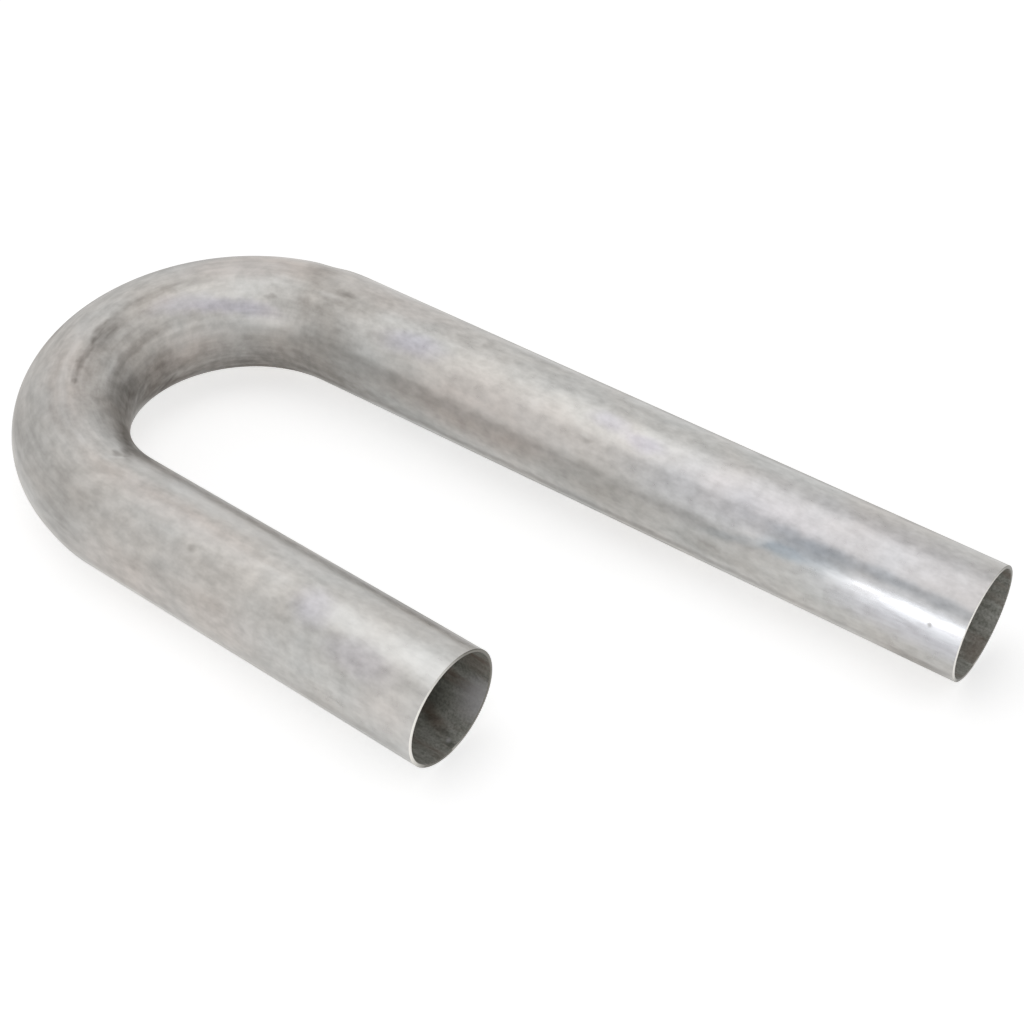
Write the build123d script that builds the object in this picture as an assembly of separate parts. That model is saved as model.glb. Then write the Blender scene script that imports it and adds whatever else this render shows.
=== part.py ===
from build123d import *
import os
from math import cos, radians, sin

# A mandrel bend: one round steel tube turned back on itself into a J, with a long and a short leg.
# It lies flat, as it comes to rest. The long leg runs along +X and the short one runs beside it, and the origin
# is under the middle of the whole outline. The bend stops a few degrees short of a half turn, the springback
# left when the tube came off the bender, so the short leg splays away from the long one. Through the bend the
# outside of the tube is a little flattened and its wall is drawn thin, and the wall inside the bend is pressed
# thick. Both ends are sawn square and deburred.

# Driving dimensions, in millimetres and degrees.
outside_diameter = 57.15
wall = 1.65
centreline_radius = 82.55
bend_angle = 177.3
long_leg = 355.0
short_leg = 195.0

# What the bending does to the section at its full depth. The thinning and thickening are shares of the wall.
flattening = 1.0
outer_wall_thinning = 0.15
inner_wall_thickening = 0.12

# The section changes over this many degrees at each end of the bend, and is drawn about every step.
easing = 16.0
section_step = 6.0

# The deburred edges of the sawn ends.
outer_deburr = 0.3
inner_deburr = 0.25

outside_radius = outside_diameter / 2
bore_radius = outside_radius - wall
tolerance = 0.01


def bend_plane(angle):
    """The plane square to the centreline at an angle round the bend, with its X pointing out of the bend.

    The bend's centre is the origin. It starts at the long leg, on the +Y side, and turns towards -X.
    """
    turn = radians(90 + angle)
    outwards = Vector(cos(turn), sin(turn), 0)
    forwards = Vector(-sin(turn), cos(turn), 0)
    return Plane(origin=outwards * centreline_radius, x_dir=outwards, z_dir=forwards)


def depth_of_bending(angle):
    """How fully the bending shows in the section: none at either end of the bend, all of it past the easing."""
    eased = min(angle, bend_angle - angle, easing) / easing
    return eased * eased * (3 - 2 * eased)


def half_of_section(reach, half_height, start):
    """Half of a section's outline, from the top or the bottom of the tube round one side of the bend."""
    if reach == half_height:
        return CenterArc((0, 0), half_height, start, 180)
    return EllipticalCenterArc((0, 0), reach, half_height, start, arc_size=180)


def bent_section(angle, radius, outer_loss, inner_loss):
    """A section of the bend: two half ellipses that meet above and below the centreline.

    The losses are how far it falls short of the radius outside and inside the bend, at full depth.
    """
    depth = depth_of_bending(angle)
    outer_half = half_of_section(radius - outer_loss * depth, radius, -90)
    inner_half = half_of_section(radius - inner_loss * depth, radius, 90)
    return bend_plane(angle) * make_face([*outer_half.edges(), *inner_half.edges()])


def bent_bar(radius, outer_loss, inner_loss):
    """A solid bar along the whole centreline: a round leg, the bend lofted through its sections, a round leg."""
    steps = round(bend_angle / section_step)
    angles = [bend_angle * step / steps for step in range(steps + 1)]
    bend = loft([bent_section(angle, radius, outer_loss, inner_loss) for angle in angles])
    long_bar = extrude(bend_plane(0) * Circle(radius), -long_leg)
    short_bar = extrude(bend_plane(bend_angle) * Circle(radius), short_leg)
    return long_bar + bend + short_bar


def rims(tube, radius):
    """The tube's edges of this radius at its two sawn ends."""
    long_end = bend_plane(0).offset(-long_leg).origin
    short_end = bend_plane(bend_angle).offset(short_leg).origin
    circles = [edge for edge in tube.edges().filter_by(GeomType.CIRCLE) if abs(edge.radius - radius) < tolerance]
    return [
        edge for edge in circles
        if min((edge.arc_center - long_end).length, (edge.arc_center - short_end).length) < tolerance
    ]


def bent_tube():
    """The tube: the bore is a bar of its own, so that its wall follows what the bending did to it."""
    bore_outer_loss = flattening - wall * outer_wall_thinning
    bore_inner_loss = wall * inner_wall_thickening
    tube = bent_bar(outside_radius, flattening, 0) - bent_bar(bore_radius, bore_outer_loss, bore_inner_loss)
    tube = chamfer(rims(tube, outside_radius), outer_deburr)
    return chamfer(rims(tube, bore_radius), inner_deburr)


def on_the_ground(tube):
    """The tube moved so that the origin is under the middle of its outline, level with its underside."""
    box = tube.bounding_box()
    return Pos(-box.center().X, -box.center().Y, -box.min.Z) * tube


os.makedirs("parts", exist_ok=True)
export_step(on_the_ground(bent_tube()), "parts/bent_tube.step")
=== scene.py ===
from collections import namedtuple
from math import cos, pi, radians, sin

import bpy
from mathutils import Matrix, Vector


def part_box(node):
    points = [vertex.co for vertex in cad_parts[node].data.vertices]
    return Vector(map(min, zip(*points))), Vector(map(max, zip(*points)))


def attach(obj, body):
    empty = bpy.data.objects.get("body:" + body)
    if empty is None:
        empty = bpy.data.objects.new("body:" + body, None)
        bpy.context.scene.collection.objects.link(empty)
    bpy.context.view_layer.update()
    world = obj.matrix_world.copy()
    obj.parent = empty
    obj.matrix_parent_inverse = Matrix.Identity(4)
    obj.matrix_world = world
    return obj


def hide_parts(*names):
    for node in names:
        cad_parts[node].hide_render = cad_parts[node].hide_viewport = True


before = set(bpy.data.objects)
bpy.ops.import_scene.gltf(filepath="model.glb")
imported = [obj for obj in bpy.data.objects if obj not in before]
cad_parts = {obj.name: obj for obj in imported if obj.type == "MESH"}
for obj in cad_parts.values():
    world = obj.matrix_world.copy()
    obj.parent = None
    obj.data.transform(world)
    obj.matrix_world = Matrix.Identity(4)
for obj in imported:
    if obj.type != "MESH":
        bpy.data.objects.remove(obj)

# A mandrel bend: one round steel tube turned back on itself into a J. It lies on a white studio floor and is
# seen from above its open ends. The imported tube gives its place; its surface is built here by Geometry Nodes,
# by the rule that the bend itself follows.

MILLIMETRE = 0.001

# The tube's driving dimensions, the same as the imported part's.
OUTSIDE_DIAMETER = 57.15 * MILLIMETRE
WALL = 1.65 * MILLIMETRE
CENTRELINE_RADIUS = 82.55 * MILLIMETRE
BEND_ANGLE = radians(177.3)
LONG_LEG = 355.0 * MILLIMETRE
SHORT_LEG = 195.0 * MILLIMETRE
FLATTENING = 1.0 * MILLIMETRE
OUTER_WALL_THINNING = 0.15
INNER_WALL_THICKENING = 0.12
EASING = radians(16)
OUTER_DEBURR = 0.3 * MILLIMETRE
INNER_DEBURR = 0.25 * MILLIMETRE

# The crease across the outside of the bend, where the die first gripped: how deep it is, how far round the
# bend it lies, and how far it fades out to each side.
CREASE_DEPTH = 0.6 * MILLIMETRE
CREASE_ANGLE = radians(11)
CREASE_REACH = radians(6)

# The slow unevenness of the wall: how deep it is, how long a wave of it is round the tube (28 to the metre),
# and the pattern that this one tube has.
UNEVENNESS = 0.16 * MILLIMETRE
UNEVENNESS_WAVE = 1000 / 28 * MILLIMETRE
SEED = 11

# How finely the surface is drawn: about 2.4 mm along the tube and 1.4 mm round it, with its points joined
# where surfaces meet, and smooth over edges that turn by less than this angle.
STATIONS = 337
POINTS_AROUND = 128
JOINING_DISTANCE = 0.01 * MILLIMETRE
SMOOTH_BELOW = radians(30)

# The attribute that gives each point its place on the tube as it was before bending: along it in x, and
# across it in y (out of the bend) and z (up). Patterns that came with the straight tube follow it.
UNBENT = "unbent"

# The finishes of the tube, in the order of the numbers that its faces carry.
FINISHES = ("Skin", "Sawn edge", "Bore")


def linear(hex_colour):
    """The linear colour, with alpha, that a shader takes for an sRGB hex value."""
    parts = [int(hex_colour[place:place + 2], 16) / 255 for place in (1, 3, 5)]
    return [*(part / 12.92 if part <= 0.04045 else ((part + 0.055) / 1.055) ** 2.4 for part in parts), 1.0]


def add(tree, kind, *inputs, named=None, **settings):
    """Adds a node to a tree with its settings and links.

    The inputs go to its shown sockets in order, and those in named by name. A node stands for its first shown
    output, None leaves a socket as it is, and anything else is the socket's value.
    """
    node = tree.nodes.new(kind)
    for setting, value in settings.items():
        setattr(node, setting, value)
    shown = [socket for socket in node.inputs if socket.enabled]
    given = [*zip(shown, inputs), *((node.inputs[name], value) for name, value in (named or {}).items())]
    for socket, value in given:
        if isinstance(value, bpy.types.Node):
            value = next(output for output in value.outputs if output.enabled)
        if isinstance(value, bpy.types.NodeSocket):
            tree.links.new(value, socket)
        elif value is not None:
            socket.default_value = value
    return node


def new_tree(tree_kind, name, inputs, outputs):
    """A tree of nodes with named sockets. Returns it and the sockets that hold its inputs."""
    tree = bpy.data.node_groups.new(name, tree_kind)
    for side, sockets in (("INPUT", inputs), ("OUTPUT", outputs)):
        for socket_name, kind in sockets.items():
            tree.interface.new_socket(socket_name, in_out=side, socket_type="NodeSocket" + kind)
    return tree, tree.nodes.new("NodeGroupInput").outputs


# The shape of the tube

# What each surface of the wall needs to know of the tube.
TUBE_SOCKETS = {
    "Centreline radius": "Float",
    "Bend angle": "Float",
    "Long leg": "Float",
    "Easing": "Float",
    "Bend centre": "Vector",
    "Points around": "Int",
    "Entry crease": "Float",
    "Unevenness": "Float",
    "Seed": "Int",
}


def bending_marks():
    """How far the bender pressed the wall in, from the place on the tube and how far the bend has turned."""
    tree, ask = new_tree(
        "GeometryNodeTree",
        "bending marks",
        {
            "Unbent": "Vector",
            "Round": "Float",
            "Angle": "Float",
            "Entry crease": "Float",
            "Unevenness": "Float",
            "Seed": "Int",
        },
        {"Inwards": "Float"},
    )

    # The crease where the die first gripped. It fades out towards the top and the underside of the tube.
    away = add(tree, "ShaderNodeMath", ask["Angle"], CREASE_ANGLE, operation="SUBTRACT")
    away = add(tree, "ShaderNodeMath", away, operation="ABSOLUTE")
    crease = add(
        tree, "ShaderNodeMapRange", away, 0.0, CREASE_REACH, 1.0, 0.0, interpolation_type="SMOOTHERSTEP"
    )
    outward = add(tree, "ShaderNodeMath", ask["Round"], operation="COSINE")
    outward = add(tree, "ShaderNodeMapRange", outward, 0.2, 0.9, 0.0, 1.0, interpolation_type="SMOOTHSTEP")
    crease = add(tree, "ShaderNodeMath", crease, outward, operation="MULTIPLY")
    crease = add(tree, "ShaderNodeMath", crease, ask["Entry crease"], operation="MULTIPLY")

    # Slow unevenness, drawn out along the tube as rolled strip has it.
    drawn_out = add(tree, "ShaderNodeVectorMath", ask["Unbent"], (0.35, 1.0, 1.0), operation="MULTIPLY")
    seeded = add(tree, "ShaderNodeVectorMath", drawn_out, ask["Seed"], operation="ADD")
    uneven = add(tree, "ShaderNodeTexNoise", seeded, 1 / UNEVENNESS_WAVE, 1.0, 0.4)
    uneven = add(tree, "ShaderNodeMath", uneven, ask["Unevenness"], operation="MULTIPLY")

    inwards = add(tree, "ShaderNodeMath", crease, uneven, operation="ADD")
    add(tree, "NodeGroupOutput", inwards)
    return tree


def wall_surface(marks):
    """One surface of the wall, swept round the tube between two places on the outline of its section.

    Each place is a distance along the centreline and a radius. Walked round in order, the skin, the sawn end,
    the bore and the other end all face outwards.
    """
    tree, ask = new_tree(
        "GeometryNodeTree",
        "wall surface",
        {
            "Along from": "Float",
            "Radius from": "Float",
            "Along to": "Float",
            "Radius to": "Float",
            "Stations": "Int",
            "Outer loss": "Float",
            "Inner loss": "Float",
            **TUBE_SOCKETS,
        },
        {"Surface": "Geometry"},
    )

    closing = add(tree, "ShaderNodeMath", ask["Points around"], 1, operation="ADD")
    grid = add(tree, "GeometryNodeMeshGrid", 1.0, 1.0, ask["Stations"], closing)
    place = add(tree, "ShaderNodeSeparateXYZ", add(tree, "GeometryNodeInputPosition"))
    share = add(tree, "ShaderNodeMath", place.outputs["X"], 0.5, operation="ADD")
    along = add(tree, "ShaderNodeMix", share, ask["Along from"], ask["Along to"])
    radius = add(tree, "ShaderNodeMix", share, ask["Radius from"], ask["Radius to"])
    turn = add(tree, "ShaderNodeMath", place.outputs["Y"], 2 * pi, operation="MULTIPLY")
    # The closing line runs along the underside.
    turn = add(tree, "ShaderNodeMath", turn, pi / 2, operation="ADD")
    outward = add(tree, "ShaderNodeMath", turn, operation="COSINE")
    upward = add(tree, "ShaderNodeMath", turn, operation="SINE")

    # Where this is on the straight tube.
    unbent_y = add(tree, "ShaderNodeMath", outward, radius, operation="MULTIPLY")
    unbent_z = add(tree, "ShaderNodeMath", upward, radius, operation="MULTIPLY")
    unbent = add(tree, "ShaderNodeCombineXYZ", along, unbent_y, unbent_z)
    kept = add(
        tree, "GeometryNodeStoreNamedAttribute", grid, None, UNBENT, unbent,
        data_type="FLOAT_VECTOR", domain="POINT",
    )

    # The angle turned so far, and the distance from the bend along either leg.
    past_long_leg = add(tree, "ShaderNodeMath", along, ask["Long leg"], operation="SUBTRACT")
    angle = add(tree, "ShaderNodeMath", past_long_leg, ask["Centreline radius"], operation="DIVIDE")
    angle = add(tree, "ShaderNodeClamp", angle, 0.0, ask["Bend angle"])
    bend_length = add(
        tree, "ShaderNodeMath", ask["Centreline radius"], ask["Bend angle"], operation="MULTIPLY"
    )
    past_bend = add(tree, "ShaderNodeMath", past_long_leg, bend_length, operation="SUBTRACT")
    before = add(tree, "ShaderNodeMath", past_long_leg, 0.0, operation="MINIMUM")
    after = add(tree, "ShaderNodeMath", past_bend, 0.0, operation="MAXIMUM")
    on_a_leg = add(tree, "ShaderNodeMath", before, after, operation="ADD")

    # How fully the bending shows in the section, and what it takes off its outer or its inner half.
    left = add(tree, "ShaderNodeMath", ask["Bend angle"], angle, operation="SUBTRACT")
    nearer = add(tree, "ShaderNodeMath", angle, left, operation="MINIMUM")
    depth = add(
        tree, "ShaderNodeMapRange", nearer, 0.0, ask["Easing"], 0.0, 1.0, interpolation_type="SMOOTHSTEP"
    )
    on_the_outside = add(tree, "ShaderNodeMath", outward, 0.0, operation="GREATER_THAN")
    loss = add(tree, "ShaderNodeMix", on_the_outside, ask["Inner loss"], ask["Outer loss"])
    loss = add(tree, "ShaderNodeMath", loss, depth, operation="MULTIPLY")
    known = {
        "Unbent": unbent,
        "Round": turn,
        "Angle": angle,
        **{name: ask[name] for name in ("Entry crease", "Unevenness", "Seed")},
    }
    inwards = add(tree, "GeometryNodeGroup", node_tree=marks, named=known)
    height = add(tree, "ShaderNodeMath", radius, inwards, operation="SUBTRACT")
    reach = add(tree, "ShaderNodeMath", height, loss, operation="SUBTRACT")
    out = add(tree, "ShaderNodeMath", outward, reach, operation="MULTIPLY")
    out = add(tree, "ShaderNodeMath", out, ask["Centreline radius"], operation="ADD")
    up = add(tree, "ShaderNodeMath", upward, height, operation="MULTIPLY")

    # Laid along the X axis at the bend's radius, turned round the bend's centre, and moved to it.
    back = add(tree, "ShaderNodeMath", on_a_leg, -1.0, operation="MULTIPLY")
    laid = add(tree, "ShaderNodeCombineXYZ", back, out, up)
    turned = add(tree, "ShaderNodeVectorRotate", laid, None, angle, rotation_type="Z_AXIS")
    moved = add(tree, "ShaderNodeVectorMath", turned, ask["Bend centre"], operation="ADD")
    placed = add(tree, "GeometryNodeSetPosition", kept, None, moved)
    add(tree, "NodeGroupOutput", placed)
    return tree


def tube_form():
    """The whole tube: the outline of its wall is walked round once, from the long end and back, and swept."""
    tree, ask = new_tree(
        "GeometryNodeTree",
        "bent tube form",
        {
            "Outside diameter": "Float",
            "Wall": "Float",
            "Short leg": "Float",
            "Flattening": "Float",
            "Outer wall thinning": "Float",
            "Inner wall thickening": "Float",
            "Outer deburr": "Float",
            "Inner deburr": "Float",
            "Stations": "Int",
            **TUBE_SOCKETS,
            **{finish: "Material" for finish in FINISHES},
        },
        {"Tube": "Geometry"},
    )

    bend_length = add(
        tree, "ShaderNodeMath", ask["Centreline radius"], ask["Bend angle"], operation="MULTIPLY"
    )
    length = add(tree, "ShaderNodeMath", ask["Long leg"], bend_length, operation="ADD")
    length = add(tree, "ShaderNodeMath", length, ask["Short leg"], operation="ADD")
    outside = add(tree, "ShaderNodeMath", ask["Outside diameter"], 0.5, operation="MULTIPLY")
    bore = add(tree, "ShaderNodeMath", outside, ask["Wall"], operation="SUBTRACT")
    outside_eased = add(tree, "ShaderNodeMath", outside, ask["Outer deburr"], operation="SUBTRACT")
    bore_eased = add(tree, "ShaderNodeMath", bore, ask["Inner deburr"], operation="ADD")
    before_outer = add(tree, "ShaderNodeMath", length, ask["Outer deburr"], operation="SUBTRACT")
    before_inner = add(tree, "ShaderNodeMath", length, ask["Inner deburr"], operation="SUBTRACT")
    thinned = add(tree, "ShaderNodeMath", ask["Wall"], ask["Outer wall thinning"], operation="MULTIPLY")
    bore_outer_loss = add(tree, "ShaderNodeMath", ask["Flattening"], thinned, operation="SUBTRACT")
    bore_inner_loss = add(
        tree, "ShaderNodeMath", ask["Wall"], ask["Inner wall thickening"], operation="MULTIPLY"
    )

    # The corners of the wall's outline, and the material of the surface that leads to the next one.
    corners = [
        (ask["Outer deburr"], outside, "Skin"),
        (before_outer, outside, "Sawn edge"),
        (length, outside_eased, "Sawn edge"),
        (length, bore_eased, "Sawn edge"),
        (before_inner, bore, "Bore"),
        (ask["Inner deburr"], bore, "Sawn edge"),
        (0.0, bore_eased, "Sawn edge"),
        (0.0, outside_eased, "Sawn edge"),
    ]
    # What the bending takes off the outer and the inner half of each.
    losses = {
        "Skin": (ask["Flattening"], 0.0),
        "Sawn edge": (0.0, 0.0),
        "Bore": (bore_outer_loss, bore_inner_loss),
    }
    surface = wall_surface(bending_marks())
    joined = add(tree, "GeometryNodeJoinGeometry")
    for (along, radius, finish), (next_along, next_radius, _) in zip(corners, corners[1:] + corners[:1]):
        outer_loss, inner_loss = losses[finish]
        values = {
            "Along from": along,
            "Radius from": radius,
            "Along to": next_along,
            "Radius to": next_radius,
            "Stations": 2 if finish == "Sawn edge" else ask["Stations"],
            "Outer loss": outer_loss,
            "Inner loss": inner_loss,
            **{name: ask[name] for name in TUBE_SOCKETS},
        }
        piece = add(tree, "GeometryNodeGroup", node_tree=surface, named=values)
        marked = add(
            tree, "GeometryNodeStoreNamedAttribute", piece, None, "finish", FINISHES.index(finish),
            data_type="INT", domain="FACE",
        )
        tree.links.new(marked.outputs[0], joined.inputs[0])

    closed = add(tree, "GeometryNodeMergeByDistance", joined, None, JOINING_DISTANCE)
    smooth = add(tree, "GeometryNodeSetShadeSmooth", closed, None, True, domain="FACE")
    turn_of_edge = add(tree, "GeometryNodeInputMeshEdgeAngle")
    soft_edge = add(tree, "FunctionNodeCompare", turn_of_edge, SMOOTH_BELOW, operation="LESS_THAN")
    smooth = add(tree, "GeometryNodeSetShadeSmooth", smooth, None, soft_edge, domain="EDGE")
    finished = add(tree, "GeometryNodeRealizeInstances", smooth)
    number = add(tree, "GeometryNodeInputNamedAttribute", "finish", data_type="INT")
    for order, finish in enumerate(FINISHES):
        here = add(tree, "FunctionNodeCompare", number, order, data_type="INT", operation="EQUAL")
        finished = add(tree, "GeometryNodeSetMaterial", finished, here, ask[finish])
    add(tree, "NodeGroupOutput", finished)
    return tree


def bent_tube(box, materials):
    """The tube as a plain mesh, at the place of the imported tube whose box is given."""
    low, high = box
    radius = OUTSIDE_DIAMETER / 2
    bend_centre = (high.x - LONG_LEG, high.y - CENTRELINE_RADIUS - radius, (low.z + high.z) / 2)
    values = {
        "Outside diameter": OUTSIDE_DIAMETER,
        "Wall": WALL,
        "Short leg": SHORT_LEG,
        "Flattening": FLATTENING,
        "Outer wall thinning": OUTER_WALL_THINNING,
        "Inner wall thickening": INNER_WALL_THICKENING,
        "Outer deburr": OUTER_DEBURR,
        "Inner deburr": INNER_DEBURR,
        "Stations": STATIONS,
        "Centreline radius": CENTRELINE_RADIUS,
        "Bend angle": BEND_ANGLE,
        "Long leg": LONG_LEG,
        "Easing": EASING,
        "Bend centre": bend_centre,
        "Points around": POINTS_AROUND,
        "Entry crease": CREASE_DEPTH,
        "Unevenness": UNEVENNESS,
        "Seed": SEED,
        **materials,
    }
    tree = tube_form()
    maker = bpy.data.objects.new("bent_tube_maker", bpy.data.meshes.new("bent_tube_maker"))
    bpy.context.scene.collection.objects.link(maker)
    modifier = maker.modifiers.new("form", "NODES")
    modifier.node_group = tree
    for item in tree.interface.items_tree:
        if item.in_out == "INPUT":
            modifier[item.identifier] = values[item.name]
    shown = maker.evaluated_get(bpy.context.evaluated_depsgraph_get())
    mesh = bpy.data.meshes.new_from_object(shown)
    bpy.data.objects.remove(maker)
    tube = bpy.data.objects.new("drawn_steel_tube", mesh)
    bpy.context.scene.collection.objects.link(tube)
    return tube


# The finishes of the tube

# How a Mix node tints one colour with another, as a thin film does.
TINTING = {"data_type": "RGBA", "blend_type": "MULTIPLY"}

# A soft-edged oval patch where the steel looks different: its middle along the tube (mm) and round it
# (degrees, 0 out of the bend and 90 on top), its half length and half width (mm), its slant (degrees) and its
# strength.
Patch = namedtuple("Patch", "along round half_length half_width slant strength")

# A patch is at full strength up to the first of these shares of its half sizes, and gone at the second.
PATCH_FULL = 0.2
PATCH_GONE = 1.3

# Where the tube was rubbed dark in the bender and in the rack.
DARK_RUBS = [
    # The smudge and the drag line of the wiper die on top of the second half of the bend.
    Patch(499, 108, 18, 5.5, 4, 0.6),
    Patch(501, 103, 11, 2.6, 6, 0.35),
    Patch(525, 102.5, 22, 2.2, -3, 0.6),
    Patch(541, 102, 3, 2.0, 0, 0.6),
    Patch(460, 101, 34, 1.8, 0, 0.1),
    Patch(488, 138, 60, 3.0, 0, 0.35),
    # The nick that the clamp left where the short leg begins, and its tail.
    Patch(602.5, 106, 4.2, 2.4, -25, 0.8),
    Patch(606, 114, 9, 3.6, -38, 0.65),
    # A dark line along the inside of the short leg.
    Patch(665, 148, 75, 2.6, 0, 0.4),
    # The tracks on top of the tube, just before the crease where the die first gripped.
    Patch(356, 101, 14, 2.2, 6, 0.25),
    Patch(347, 101, 5, 2.4, -30, 0.25),
    # Rubs inside the bend.
    Patch(474, 201, 9, 1.8, 25, 0.4),
    Patch(509, 178, 12, 1.6, 20, 0.3),
    # Specks.
    Patch(15, 154, 1.8, 1.3, 0, 0.8),
    Patch(392, 125, 5.0, 1.8, 0, 0.35),
    Patch(671, 62, 2.8, 2.2, 0, 0.3),
    Patch(56, 178, 8, 2.2, 15, 0.2),
    Patch(197, 134, 3.5, 1.6, 20, 0.3),
    Patch(270, 80, 2.4, 6, 0, 0.25),
]

# Where a rub has left the skin paler, and painted highlights: on top of the short leg near its end, along
# the lower edge of the short leg, and along the inner side of the long leg, where it mirrors the other leg.
PALE_RUBS_AND_HIGHLIGHTS = [
    Patch(395, 152, 24, 3.8, 0, 0.6),
    Patch(385, 161, 25, 3.5, 0, 0.3),
    Patch(430, 159, 55, 4, 0, 0.35),
    Patch(230, 156, 110, 5, 0, 0.35),
    Patch(235, 138, 55, 11, 0, 0.35),
    Patch(357, 108, 10, 1.8, 5, 0.3),
    Patch(606, 103, 6.5, 1.2, 39, 0.5),
    Patch(600, 111, 3, 2.0, 0, 0.4),
    Patch(602, 96, 6, 2.4, 0, 0.4),
    Patch(199, 130, 3, 1.5, 0, 0.3),
    Patch(583, 91, 6, 1.8, 0, 0.3),
    Patch(545, 89, 40, 2.6, 0, 0.4),
    Patch(556, 72, 30, 3, 0, 0.3),
    Patch(712, 80, 16, 1.8, 0, 0.25),
    Patch(665, 110, 80, 6, 0, 0.7),
    Patch(665, 77, 70, 5, 0, 0.4),
    Patch(785, 78, 45, 8, 0, 0.55),
    Patch(752, 76, 18, 7, 0, 0.4),
    Patch(797, 22, 25, 16, 0, 0.5),
    Patch(755, 102, 50, 6, 0, 0.25),
    Patch(790, 116, 20, 6, 0, 0.3),
    Patch(655, -25, 60, 5, 0, 0.8),
    Patch(630, -25, 20, 5, 0, 0.3),
    Patch(440, 121, 40, 5, 0, 0.45),
    Patch(412, 88, 35, 5, 0, 0.3),
    Patch(98, 147, 18, 1.6, 34, 0.3),
]

# Darker, browner patches: grease and heat that browned the skin, and painted shade where the shaded floor and
# the tube itself are mirrored. Most lie inside the bend and on top of it, with a long band along the underside
# of the long leg, a line along the inside of the short leg, and some along the sides of both legs.
GRIME_AND_PAINTED_SHADE = [
    Patch(412, 209, 85, 8, 0, 0.78),
    Patch(480, 204, 35, 7, -15, 0.5),
    Patch(400, 223, 60, 5, 0, 0.7),
    Patch(390, 192, 35, 4, 0, 0.15),
    Patch(475, 160, 20, 3, 0, 0.2),
    Patch(420, 184, 80, 9, 0, 0.4),
    Patch(475, 165, 14, 7, 0, 0.3),
    Patch(345, 190, 50, 12, 0, 0.35),
    Patch(325, 200, 45, 5, 0, 0.15),
    Patch(280, 172, 90, 8, 0, 0.24),
    Patch(190, 176, 45, 6, 0, 0.2),
    Patch(340, 190, 35, 4, 0, 0.2),
    Patch(285, 195, 40, 6, 0, 0.2),
    Patch(180, 223, 190, 5, 0, 0.6),
    Patch(125, 181, 25, 5, 0, 0.3),
    Patch(348, 144, 25, 6, 0, 0.35),
    Patch(348, 106, 22, 9, 0, 0.35),
    Patch(180, 201, 190, 3, 0, 0.35),
    Patch(520, 178, 75, 14, -8, 0.7),
    Patch(525, 160, 55, 6, -8, 0.25),
    Patch(592, 130, 30, 5, -22, 0.5),
    Patch(548, 134, 50, 7, -12, 0.35),
    Patch(500, 116, 90, 9, 0, 0.42),
    Patch(375, 119, 35, 7, 0, 0.2),
    Patch(505, 141, 45, 5, 0, 0.35),
    Patch(580, 148, 28, 6, -22, 0.5),
    Patch(590, 165, 26, 9, 0, 0.75),
    Patch(607, 143, 13, 7, -15, 0.75),
    Patch(611, 126, 12, 4.5, -15, 0.5),
    Patch(560, 88, 22, 12, 0, 0.25),
    Patch(490, 62, 60, 9, 0, 0.15),
    Patch(665, 149, 85, 5.5, 0, 0.6),
    Patch(765, 130, 60, 3.4, 0, 0.4),
    Patch(765, 146, 50, 6, 0, 0.75),
    Patch(758, 141, 46, 3, 0, 0.6),
    Patch(765, -13, 45, 5, 0, 0.35),
    Patch(660, 22, 40, 6, 0, 0.2),
    Patch(600, 8, 15, 14, 0, 0.25),
    Patch(650, -11, 45, 4, 0, 0.15),
    Patch(775, -29, 35, 5, 0, 0.35),
    Patch(631, 112, 9, 9, 0, 0.3),
    Patch(371, 86, 9, 17, 0, 0.3),
    Patch(360, 130, 35, 5, 0, 0.3),
    Patch(18, 213, 22, 8, 0, 0.6),
    Patch(60, 52, 60, 6, 0, 0.2),
    Patch(240, 68, 25, 4, 0, 0.2),
    Patch(500, 42, 30, 5, 0, 0.3),
    Patch(545, 32, 30, 6, 0, 0.25),
    Patch(460, 100, 34, 4, 0, 0.25),
    Patch(432, 60, 40, 5, 0, 0.35),
    Patch(480, 47, 40, 5, 0, 0.55),
    Patch(365, 50, 20, 5, 0, 0.4),
    Patch(300, 58, 40, 5, 0, 0.2),
    Patch(727, 64, 7, 12, 0, 0.2),
    Patch(160, 50, 190, 5, 0, 0.55),
    Patch(575, 42, 55, 18, 0, 0.25),
]

# Thin films of oil and heat that tint the steel lilac, or rose.
LILAC_FILMS = [
    Patch(172, 112, 12, 5, 0, 0.9),
    Patch(192, 106, 12, 5, 0, 0.8),
    Patch(302, 119, 20, 7, 8, 1.0),
    Patch(410, 137, 30, 5, -6, 1.0),
    Patch(445, 124, 26, 6, -10, 0.9),
    Patch(738, 72, 12, 10, 0, 0.8),
    Patch(770, 52, 22, 9, 0, 0.6),
    Patch(15, 162, 55, 10, 0, 0.8),
    Patch(45, 112, 95, 22, 0, 0.5),
    Patch(130, 130, 60, 18, 0, 0.4),
]
ROSE_FILMS = [
    Patch(240, 140, 60, 14, 0, 0.8),
    Patch(260, 165, 55, 12, 0, 1.0),
    Patch(320, 80, 40, 12, 0, 0.6),
    Patch(405, 84, 40, 12, 0, 1.0),
    Patch(455, 170, 45, 10, 0, 0.5),
    Patch(545, 92, 50, 14, 0, 0.6),
    Patch(650, 84, 60, 8, 0, 0.8),
    Patch(640, 5, 40, 12, 0, 0.5),
    Patch(700, 15, 30, 12, 0, 0.5),
    Patch(790, 20, 20, 12, 0, 0.6),
]

# The long end was polished where it slid in its sleeve, and is smoother there; its colour is painted brighter
# there as a glint with its halo.
BURNISHED_AND_GLINT = [
    Patch(0, 150, 64, 7, 0, 1.0),
    Patch(15, 160, 66, 12, 0, 0.4),
]

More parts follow.
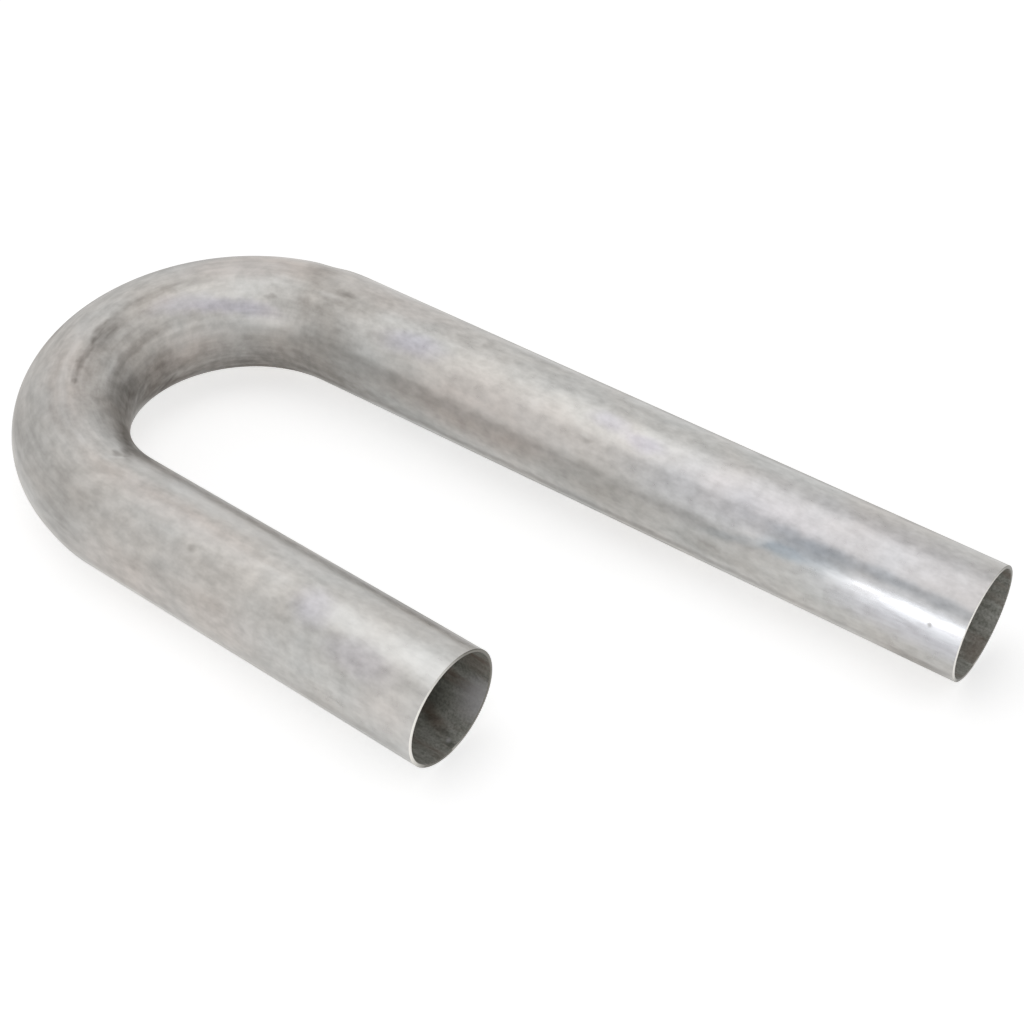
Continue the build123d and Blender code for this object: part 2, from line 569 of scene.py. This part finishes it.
# Round the polished place, a painted dark blue-grey reflection, which tapers off along the tube.
PAINTED_DARK_REFLECTIONS = [
    Patch(25, 131.5, 80, 3.4, 0, 0.45),
    Patch(78, 142, 24, 8, 0, 0.7),
    Patch(90, 150, 14, 4, 0, 0.6),
    Patch(110, 157, 22, 2.8, 12, 0.4),
]

# Round part of each sawn end the edge is darker.
DARKER_EDGE_PARTS = [
    Patch(0, -5, 8, 56, 0, 1.4),
    Patch(0, 263, 8, 30, 0, 1.4),
    Patch(805, 180, 8, 60, 0, 1.4),
    Patch(805, -88, 8, 33, 0, 1.4),
]

# The bore near its ends: painted light on the wall by the short end's mouth, with a painted glint; painted
# shade further in, and the dark weld seam with its painted shadow; rusty in places.
PAINTED_LIGHT_IN_BORE = [
    Patch(804, 216, 14, 12, 0, 0.7),
    Patch(801.5, 264, 1.8, 1.4, 0, 0.5),
]
DARK_AND_SHADED_BORE = [
    Patch(779, 236, 13, 14, 0, 0.6),
    Patch(797, 259, 7, 1.7, 0, 0.45),
    Patch(788, 253, 5, 1.7, -30, 0.35),
    Patch(803.5, 267, 2.4, 2.2, 0, 0.7),
]
RUSTY_BORE = [
    Patch(787, 250, 14, 4, 25, 0.7),
    Patch(798, 180, 12, 8, 0, 0.5),
    Patch(1, -75, 10, 10, 0, 0.6),
]


def new_material(name):
    """An empty node material. Returns it and its tree."""
    material = bpy.data.materials.new(name)
    material.use_nodes = True
    material.node_tree.nodes.clear()
    return material, material.node_tree


def patch_shape():
    """A node group that says how deep inside one soft-edged oval patch a place on the tube is."""
    tree, ask = new_tree(
        "ShaderNodeTree",
        "patch",
        {"Place": "Vector", "Middle": "Vector", "Half sizes": "Vector", "Slant": "Float"},
        {"Inside": "Float"},
    )
    away = add(tree, "ShaderNodeVectorMath", ask["Place"], ask["Middle"], operation="SUBTRACT")
    away = add(tree, "ShaderNodeVectorRotate", away, None, ask["Slant"], rotation_type="Z_AXIS")
    away = add(tree, "ShaderNodeVectorMath", away, ask["Half sizes"], operation="DIVIDE")
    away = add(tree, "ShaderNodeVectorMath", away, operation="LENGTH")
    inside = add(
        tree, "ShaderNodeMapRange", away.outputs["Value"], PATCH_FULL, PATCH_GONE, 1.0, 0.0,
        interpolation_type="SMOOTHSTEP",
    )
    add(tree, "NodeGroupOutput", inside)
    return tree


def covered(tree, shape, place, patches):
    """How much these patches cover a place, from 0 to 1."""
    total = 0.0
    for patch in patches:
        known = {
            "Place": place,
            "Middle": (patch.along * MILLIMETRE, radians(patch.round) * OUTSIDE_DIAMETER / 2, 0),
            "Half sizes": (patch.half_length * MILLIMETRE, patch.half_width * MILLIMETRE, 1),
            "Slant": radians(-patch.slant),
        }
        inside = add(tree, "ShaderNodeGroup", node_tree=shape, named=known)
        total = add(tree, "ShaderNodeMath", inside, patch.strength, total, operation="MULTIPLY_ADD")
    return add(tree, "ShaderNodeClamp", total, 0.0, 1.0)


def unrolled(tree, unbent):
    """The place along the tube, the turn round it, and both together as a place on its wall laid out flat."""
    apart = add(tree, "ShaderNodeSeparateXYZ", unbent)
    along = apart.outputs["X"]
    turn = add(tree, "ShaderNodeMath", apart.outputs["Z"], apart.outputs["Y"], operation="ARCTAN2")
    # The underside's angles go on from 180 degrees, so that a patch may cross the inside of the bend.
    underneath = add(tree, "ShaderNodeMath", turn, -pi / 2, operation="LESS_THAN")
    turn = add(tree, "ShaderNodeMath", underneath, 2 * pi, turn, operation="MULTIPLY_ADD")
    round_it = add(tree, "ShaderNodeMath", turn, OUTSIDE_DIAMETER / 2, operation="MULTIPLY")
    place = add(tree, "ShaderNodeCombineXYZ", along, round_it)
    # Edges of patches wander by up to about a millimetre, in waves of 9 mm.
    wander = add(tree, "ShaderNodeTexNoise", unbent, 1 / (9 * MILLIMETRE), 2.0, 0.5)
    wander = add(tree, "ShaderNodeVectorMath", wander.outputs["Color"], (0.5, 0.5, 0.5), operation="SUBTRACT")
    wander = add(tree, "ShaderNodeVectorMath", wander, 5 * MILLIMETRE, operation="SCALE")
    return along, turn, add(tree, "ShaderNodeVectorMath", place, wander, operation="ADD")


def aluminised_steel():
    """Aluminised mild steel tube, as drawn and bent: a satin grey skin.

    It gives the eye a soft, slightly warm mirror. Its coating is mottled, faint lines of drawing run along
    it, the bender dulled the bend, and handling left rubs, greasy browning, specks and thin oily tints.
    Painted shade, painted highlights and painted reflections are laid on its colour too.
    """
    material, tree = new_material("aluminised steel, drawn satin")
    unbent = add(tree, "ShaderNodeAttribute", attribute_name=UNBENT).outputs["Vector"]
    along, turn, place = unrolled(tree, unbent)
    shape = patch_shape()
    dark_rubs = covered(tree, shape, place, DARK_RUBS)
    pale_rubs_and_highlights = covered(tree, shape, place, PALE_RUBS_AND_HIGHLIGHTS)
    grime_and_shade = covered(tree, shape, place, GRIME_AND_PAINTED_SHADE)
    lilac_films = covered(tree, shape, place, LILAC_FILMS)
    rose_films = covered(tree, shape, place, ROSE_FILMS)
    burnished_and_glint = covered(tree, shape, place, BURNISHED_AND_GLINT)
    painted_dark_reflection = covered(tree, shape, place, PAINTED_DARK_REFLECTIONS)

    # The bender's tooling and its grease dulled the steel from a little before the bend to well past it.
    dulled_from = add(
        tree, "ShaderNodeMapRange", along, 300 * MILLIMETRE, 400 * MILLIMETRE, 0.0, 1.0,
        interpolation_type="SMOOTHSTEP",
    )
    dulled_to = add(
        tree, "ShaderNodeMapRange", along, 690 * MILLIMETRE, 750 * MILLIMETRE, 1.0, 0.0,
        interpolation_type="SMOOTHSTEP",
    )
    dulled = add(tree, "ShaderNodeMath", dulled_from, dulled_to, operation="MULTIPLY")
    # The side towards the other leg stayed duller, from the bend to near the long end.
    inner_side = add(
        tree, "ShaderNodeMapRange", turn, radians(142), radians(166), 0.0, 1.0,
        interpolation_type="SMOOTHSTEP",
    )
    from_long_end = add(
        tree, "ShaderNodeMapRange", along, 90 * MILLIMETRE, 170 * MILLIMETRE, 0.0, 1.0,
        interpolation_type="SMOOTHSTEP",
    )
    inner_side = add(tree, "ShaderNodeMath", inner_side, from_long_end, operation="MULTIPLY")

    # The coating's mottling: spangles of 4.5 mm and clouds of 15 mm, both a little longer along the tube, and
    # lines of drawing. The lines are 2.2 mm apart, coarser than real ones, which are too fine to show.
    lightly_drawn = add(tree, "ShaderNodeVectorMath", unbent, (0.7, 1.0, 1.0), operation="MULTIPLY")
    drawn_out = add(tree, "ShaderNodeVectorMath", unbent, (0.15, 1.0, 1.0), operation="MULTIPLY")
    spangles = add(tree, "ShaderNodeTexNoise", lightly_drawn, 1 / (4.5 * MILLIMETRE), 2.5, 0.6)
    clouds = add(tree, "ShaderNodeTexNoise", lightly_drawn, 1 / (15 * MILLIMETRE), 2.0, 0.5)
    lines = add(tree, "ShaderNodeTexNoise", drawn_out, 1 / (2.2 * MILLIMETRE), 1.5, 0.5)
    mottling = add(tree, "ShaderNodeMath", spangles, 0.65, operation="MULTIPLY")
    mottling = add(tree, "ShaderNodeMath", clouds, 0.2, mottling, operation="MULTIPLY_ADD")
    mottling = add(tree, "ShaderNodeMath", lines, 0.15, mottling, operation="MULTIPLY_ADD")
    # In the bend the tooling also left long faint streaks, 3 mm apart.
    bend_end = LONG_LEG + BEND_ANGLE * CENTRELINE_RADIUS
    in_the_bend = add(
        tree, "ShaderNodeMapRange", along, bend_end - 20 * MILLIMETRE, bend_end + 20 * MILLIMETRE, 1.0, 0.0,
        interpolation_type="SMOOTHSTEP",
    )
    in_the_bend = add(tree, "ShaderNodeMath", in_the_bend, dulled_from, operation="MULTIPLY")
    far_drawn = add(tree, "ShaderNodeVectorMath", unbent, (0.06, 1.0, 1.0), operation="MULTIPLY")
    streaks = add(tree, "ShaderNodeTexNoise", far_drawn, 1 / (3 * MILLIMETRE), 2.0, 0.5)
    streaks = add(tree, "ShaderNodeMath", streaks, 0.5, operation="SUBTRACT")
    streaks = add(tree, "ShaderNodeMath", streaks, in_the_bend, operation="MULTIPLY")
    mottling = add(tree, "ShaderNodeMath", streaks, 0.3, mottling, operation="MULTIPLY_ADD")
    mottled = add(tree, "ShaderNodeMapRange", mottling, 0.37, 0.63, 0.0, 1.0)
    colour = add(tree, "ShaderNodeMix", mottled, linear("#B0AFAC"), linear("#C5C4C1"), data_type="RGBA")

    # Drifts of tint 34 mm wide, from warm to cool, and the films. The dulled skin is a little rosy too.
    drift = add(tree, "ShaderNodeTexNoise", lightly_drawn, 1 / (34 * MILLIMETRE), 2.0, 0.6)
    drift = add(tree, "ShaderNodeMapRange", drift, 0.35, 0.65, 0.0, 1.0)
    drift = add(tree, "ShaderNodeMix", drift, linear("#FDFAF8"), linear("#FAFBFC"), data_type="RGBA")
    colour = add(tree, "ShaderNodeMix", 1.0, colour, drift, **TINTING)
    rosy = add(tree, "ShaderNodeMath", dulled, 0.2, rose_films, operation="MULTIPLY_ADD", use_clamp=True)
    colour = add(tree, "ShaderNodeMix", rosy, colour, linear("#FFF9F7"), **TINTING)
    colour = add(tree, "ShaderNodeMix", lilac_films, colour, linear("#F5F4FF"), **TINTING)
    # Painted dark reflection, blue-grey, round the polished place.
    colour = add(tree, "ShaderNodeMix", painted_dark_reflection, colour, linear("#CDD6DE"), **TINTING)
    # The polished place and its painted glint are broken up by the lines of drawing.
    polished = add(tree, "ShaderNodeMapRange", lines, 0.35, 0.65, 0.6, 1.25)
    burnished_and_glint = add(tree, "ShaderNodeMath", burnished_and_glint, polished, operation="MULTIPLY", use_clamp=True)
    # Painted glint: the polished place is painted brighter.
    bright = add(tree, "ShaderNodeMath", burnished_and_glint, 0.8, operation="MULTIPLY")
    colour = add(tree, "ShaderNodeMix", bright, colour, linear("#DADCE0"), data_type="RGBA")

    # Rubs are broken up into streaks along the tube, and the browning and painted shade into clouds.
    streaked = add(tree, "ShaderNodeMapRange", lines, 0.35, 0.65, 0.7, 1.3)
    dark_rubs = add(tree, "ShaderNodeMath", dark_rubs, streaked, operation="MULTIPLY", use_clamp=True)
    colour = add(tree, "ShaderNodeMix", dark_rubs, colour, linear("#B2AFAC"), **TINTING)
    clouded = add(tree, "ShaderNodeMapRange", mottling, 0.35, 0.65, 1.12, 0.88)
    grime_and_shade = add(tree, "ShaderNodeMath", grime_and_shade, clouded, operation="MULTIPLY", use_clamp=True)
    # Greasy browning, and painted shade where the shaded floor and the other leg are mirrored.
    colour = add(tree, "ShaderNodeMix", grime_and_shade, colour, linear("#A5A09B"), **TINTING)
    # Paler rubs and painted highlights.
    pale = add(tree, "ShaderNodeMath", pale_rubs_and_highlights, 0.4, operation="MULTIPLY")
    colour = add(tree, "ShaderNodeMix", pale, colour, linear("#DEDEDD"), data_type="RGBA")

    # Satin all over, duller in and past the bend, where rubbed dark and under the browning and painted shade,
    # smoother at the polished long end.
    roughness = add(tree, "ShaderNodeMapRange", spangles, 0.3, 0.7, 0.27, 0.35)
    roughness = add(tree, "ShaderNodeMath", dulled, 0.09, roughness, operation="MULTIPLY_ADD")
    roughness = add(tree, "ShaderNodeMath", inner_side, 0.12, roughness, operation="MULTIPLY_ADD")
    roughness = add(tree, "ShaderNodeMath", dark_rubs, 0.1, roughness, operation="MULTIPLY_ADD")
    roughness = add(tree, "ShaderNodeMath", grime_and_shade, 0.1, roughness, operation="MULTIPLY_ADD")
    roughness = add(tree, "ShaderNodeMix", burnished_and_glint, roughness, 0.24)

    # Fine relief, from the same lines of drawing and spangles.
    relief = add(tree, "ShaderNodeMath", lines, 0.3, spangles, operation="MULTIPLY_ADD")
    bump = add(tree, "ShaderNodeBump", 1.0, 0.04 * MILLIMETRE, None, relief)
    shader = add(
        tree,
        "ShaderNodeBsdfPrincipled",
        named={"Base Color": colour, "Metallic": 1.0, "Roughness": roughness, "Normal": bump},
    )
    add(tree, "ShaderNodeOutputMaterial", shader)
    return material


def sawn_steel():
    """Freshly sawn and deburred steel: bright, with a fine tooth, and darker round part of each end."""
    material, tree = new_material("sawn steel, deburred")
    where = add(tree, "ShaderNodeTexCoord").outputs["Object"]
    tooth = add(tree, "ShaderNodeTexNoise", where, 1 / (0.5 * MILLIMETRE), 2.0, 0.6)
    colour = add(tree, "ShaderNodeMix", tooth, linear("#DFDCD5"), linear("#F7F5EF"), data_type="RGBA")
    unbent = add(tree, "ShaderNodeAttribute", attribute_name=UNBENT).outputs["Vector"]
    darker_parts = covered(tree, patch_shape(), unrolled(tree, unbent)[2], DARKER_EDGE_PARTS)
    # Darker round part of each end.
    colour = add(tree, "ShaderNodeMix", darker_parts, colour, linear("#7C7B77"), **TINTING)
    roughness = add(tree, "ShaderNodeMapRange", tooth, 0.3, 0.7, 0.28, 0.42)
    bump = add(tree, "ShaderNodeBump", 1.0, 0.02 * MILLIMETRE, None, tooth)
    shader = add(
        tree,
        "ShaderNodeBsdfPrincipled",
        named={"Base Color": colour, "Metallic": 1.0, "Roughness": roughness, "Normal": bump},
    )
    add(tree, "ShaderNodeOutputMaterial", shader)
    return material


def bore_steel():
    """The aluminised inside of the tube: dull grey, smeared along with drawing soap and flecked with rust."""
    material, tree = new_material("aluminised steel bore, dull")
    unbent = add(tree, "ShaderNodeAttribute", attribute_name=UNBENT).outputs["Vector"]
    drawn_out = add(tree, "ShaderNodeVectorMath", unbent, (0.15, 1.0, 1.0), operation="MULTIPLY")
    smears = add(tree, "ShaderNodeTexNoise", drawn_out, 1 / (3 * MILLIMETRE), 3.0, 0.55)
    grain = add(tree, "ShaderNodeTexNoise", unbent, 1 / (1.2 * MILLIMETRE), 2.0, 0.6)
    mixed = add(tree, "ShaderNodeMath", grain, 0.5, operation="MULTIPLY")
    mixed = add(tree, "ShaderNodeMath", smears, 0.5, mixed, operation="MULTIPLY_ADD")
    mixed = add(tree, "ShaderNodeMapRange", mixed, 0.35, 0.65, 0.0, 1.0)
    colour = add(tree, "ShaderNodeMix", mixed, linear("#94948C"), linear("#D4D4CE"), data_type="RGBA")
    rust_brown = linear("#8C6F5E")
    flecks = add(tree, "ShaderNodeTexNoise", drawn_out, 1 / (7 * MILLIMETRE), 3.0, 0.6)
    flecks = add(tree, "ShaderNodeMapRange", flecks, 0.52, 0.72, 0.0, 0.6)
    colour = add(tree, "ShaderNodeMix", flecks, colour, rust_brown, data_type="RGBA")
    place = unrolled(tree, unbent)[2]
    shape = patch_shape()
    rusty = covered(tree, shape, place, RUSTY_BORE)
    rusty = add(tree, "ShaderNodeMath", rusty, 0.6, operation="MULTIPLY")
    colour = add(tree, "ShaderNodeMix", rusty, colour, rust_brown, data_type="RGBA")
    # Darker further in, as painted shade, and the dark weld seam with its painted shadow.
    dark = covered(tree, shape, place, DARK_AND_SHADED_BORE)
    colour = add(tree, "ShaderNodeMix", dark, colour, linear("#8A8C84"), **TINTING)
    # Painted light on the wall by the short end's mouth, and a painted glint.
    bore_light = covered(tree, shape, place, PAINTED_LIGHT_IN_BORE)
    colour = add(tree, "ShaderNodeMix", bore_light, colour, linear("#E9E7EB"), data_type="RGBA")
    roughness = add(tree, "ShaderNodeMapRange", grain, 0.3, 0.7, 0.42, 0.55)
    bump = add(tree, "ShaderNodeBump", 1.0, 0.04 * MILLIMETRE, None, mixed)
    shader = add(
        tree,
        "ShaderNodeBsdfPrincipled",
        named={"Base Color": colour, "Metallic": 0.4, "Roughness": roughness, "Normal": bump},
    )
    add(tree, "ShaderNodeOutputMaterial", shader)
    return material


# The studio

# How brightly the room lights the tube, how brightly it is seen, and how much light of its own the floor
# shows so that it is seen white. 1 is white.
ROOM_LIGHT = 0.52
ROOM_SEEN = 1.0
FLOOR_LIFT = 0.53

# Half the width of the floor, in metres.
HALF_FLOOR = 6.0

# The watts that make each square metre of a lamp's face shine white.
WHITE_LAMP = 4


def seen_itself(tree):
    """1 for what the camera sees straight, mirrored or through something, and 0 for what only gives light."""
    path = add(tree, "ShaderNodeLightPath").outputs
    seen = add(tree, "ShaderNodeMath", path["Is Camera Ray"], path["Is Glossy Ray"], operation="MAXIMUM")
    return add(tree, "ShaderNodeMath", seen, path["Is Transmission Ray"], operation="MAXIMUM")


def studio_floor():
    """A white floor. It keeps the tube's shadow, and is lifted to white for the camera and in reflections."""
    material, tree = new_material("white studio floor")
    lift = add(tree, "ShaderNodeMath", seen_itself(tree), FLOOR_LIFT, operation="MULTIPLY")
    shader = add(
        tree,
        "ShaderNodeBsdfPrincipled",
        named={
            "Base Color": linear("#F2F2F2"),
            "Roughness": 1.0,
            "Specular IOR Level": 0.0,
            "Emission Color": linear("#FFFFFF"),
            "Emission Strength": lift,
        },
    )
    add(tree, "ShaderNodeOutputMaterial", shader)
    corners = [(x * HALF_FLOOR, y * HALF_FLOOR, 0) for x, y in ((-1, -1), (1, -1), (1, 1), (-1, 1))]
    mesh = bpy.data.meshes.new("studio_floor")
    mesh.from_pydata(corners, [], [(0, 1, 2, 3)])
    mesh.materials.append(material)
    floor = bpy.data.objects.new("studio_floor", mesh)
    bpy.context.scene.collection.objects.link(floor)


def studio_world():
    """A plain white room: soft light from all sides, and white for the camera and for reflections."""
    world = bpy.data.worlds.new("white studio")
    world.use_nodes = True
    tree = world.node_tree
    tree.nodes.clear()
    light = add(tree, "ShaderNodeBackground", linear("#FFFFFF"), ROOM_LIGHT)
    white = add(tree, "ShaderNodeBackground", linear("#FFFFFF"), ROOM_SEEN)
    both = add(tree, "ShaderNodeMixShader", seen_itself(tree), light, white)
    add(tree, "ShaderNodeOutputWorld", both)
    bpy.context.scene.world = world


def softbox(name, place, aim, width, height, brightness):
    """A flat rectangular lamp, sized in metres. Its face adds its brightness to the room's. 1 is white."""
    lamp = bpy.data.lights.new(name, "AREA")
    lamp.shape = "RECTANGLE"
    lamp.size = width
    lamp.size_y = height
    lamp.energy = brightness * WHITE_LAMP * width * height
    thing = bpy.data.objects.new(name, lamp)
    thing.location = place
    thing.rotation_mode = "QUATERNION"
    thing.rotation_quaternion = (Vector(aim) - Vector(place)).to_track_quat("-Z", "Y")
    bpy.context.scene.collection.objects.link(thing)


def camera():
    """The camera at the photograph's viewing angle, looking at a point at the height of the centreline."""
    azimuth = radians(33.958)
    elevation = radians(44.359)
    roll = radians(0.749)
    distance = 986.77 * MILLIMETRE
    target = Vector((21.784, 25.970, 28.575)) * MILLIMETRE
    back = Vector((sin(azimuth) * cos(elevation), -cos(azimuth) * cos(elevation), sin(elevation)))
    right = (-back).cross(Vector((0, 0, 1))).normalized()
    up = right.cross(-back)
    rolled_right = right * cos(roll) + up * sin(roll)
    rolled_up = up * cos(roll) - right * sin(roll)
    # The width of the sensor and the focal length of the lens are in millimetres.
    data = bpy.data.cameras.new("camera")
    data.sensor_width = 36.0
    data.lens = 74.67
    thing = bpy.data.objects.new("camera", data)
    turn = Matrix((rolled_right, rolled_up, back)).transposed()
    thing.matrix_world = Matrix.Translation(target + back * distance) @ turn.to_4x4()
    bpy.context.scene.collection.objects.link(thing)
    bpy.context.scene.camera = thing


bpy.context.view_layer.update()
finishes = {"Skin": aluminised_steel(), "Sawn edge": sawn_steel(), "Bore": bore_steel()}
tube = bent_tube(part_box("bent_tube"), finishes)
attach(tube, "root")
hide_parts("bent_tube")
studio_floor()
studio_world()
# The overhead softbox is hung level, 1.1 m up. It is two lamps of the same length, so that it fades over the
# left end, where only the wider one reaches.
softbox("overhead softbox", (-0.17, 0.085, 1.1), (-0.17, 0.085, 0.0), 0.54, 1.21, 0.25)
softbox("overhead softbox, wider", (-0.26, 0.085, 1.101), (-0.26, 0.085, 0.0), 0.72, 1.21, 0.25)
# The low window stands 1 m in front. It too is two lamps, and is dimmer at the top and lower down.
softbox("low window", (0.015, -1.0, 0.35), (0.015, 0.0, 0.35), 0.3, 0.24, 1.02)
softbox("low window, taller", (0.03, -1.001, 0.28), (0.03, 0.0, 0.28), 0.3, 0.46, 0.5)
camera()
bpy.context.scene.view_settings.view_transform = "Standard"
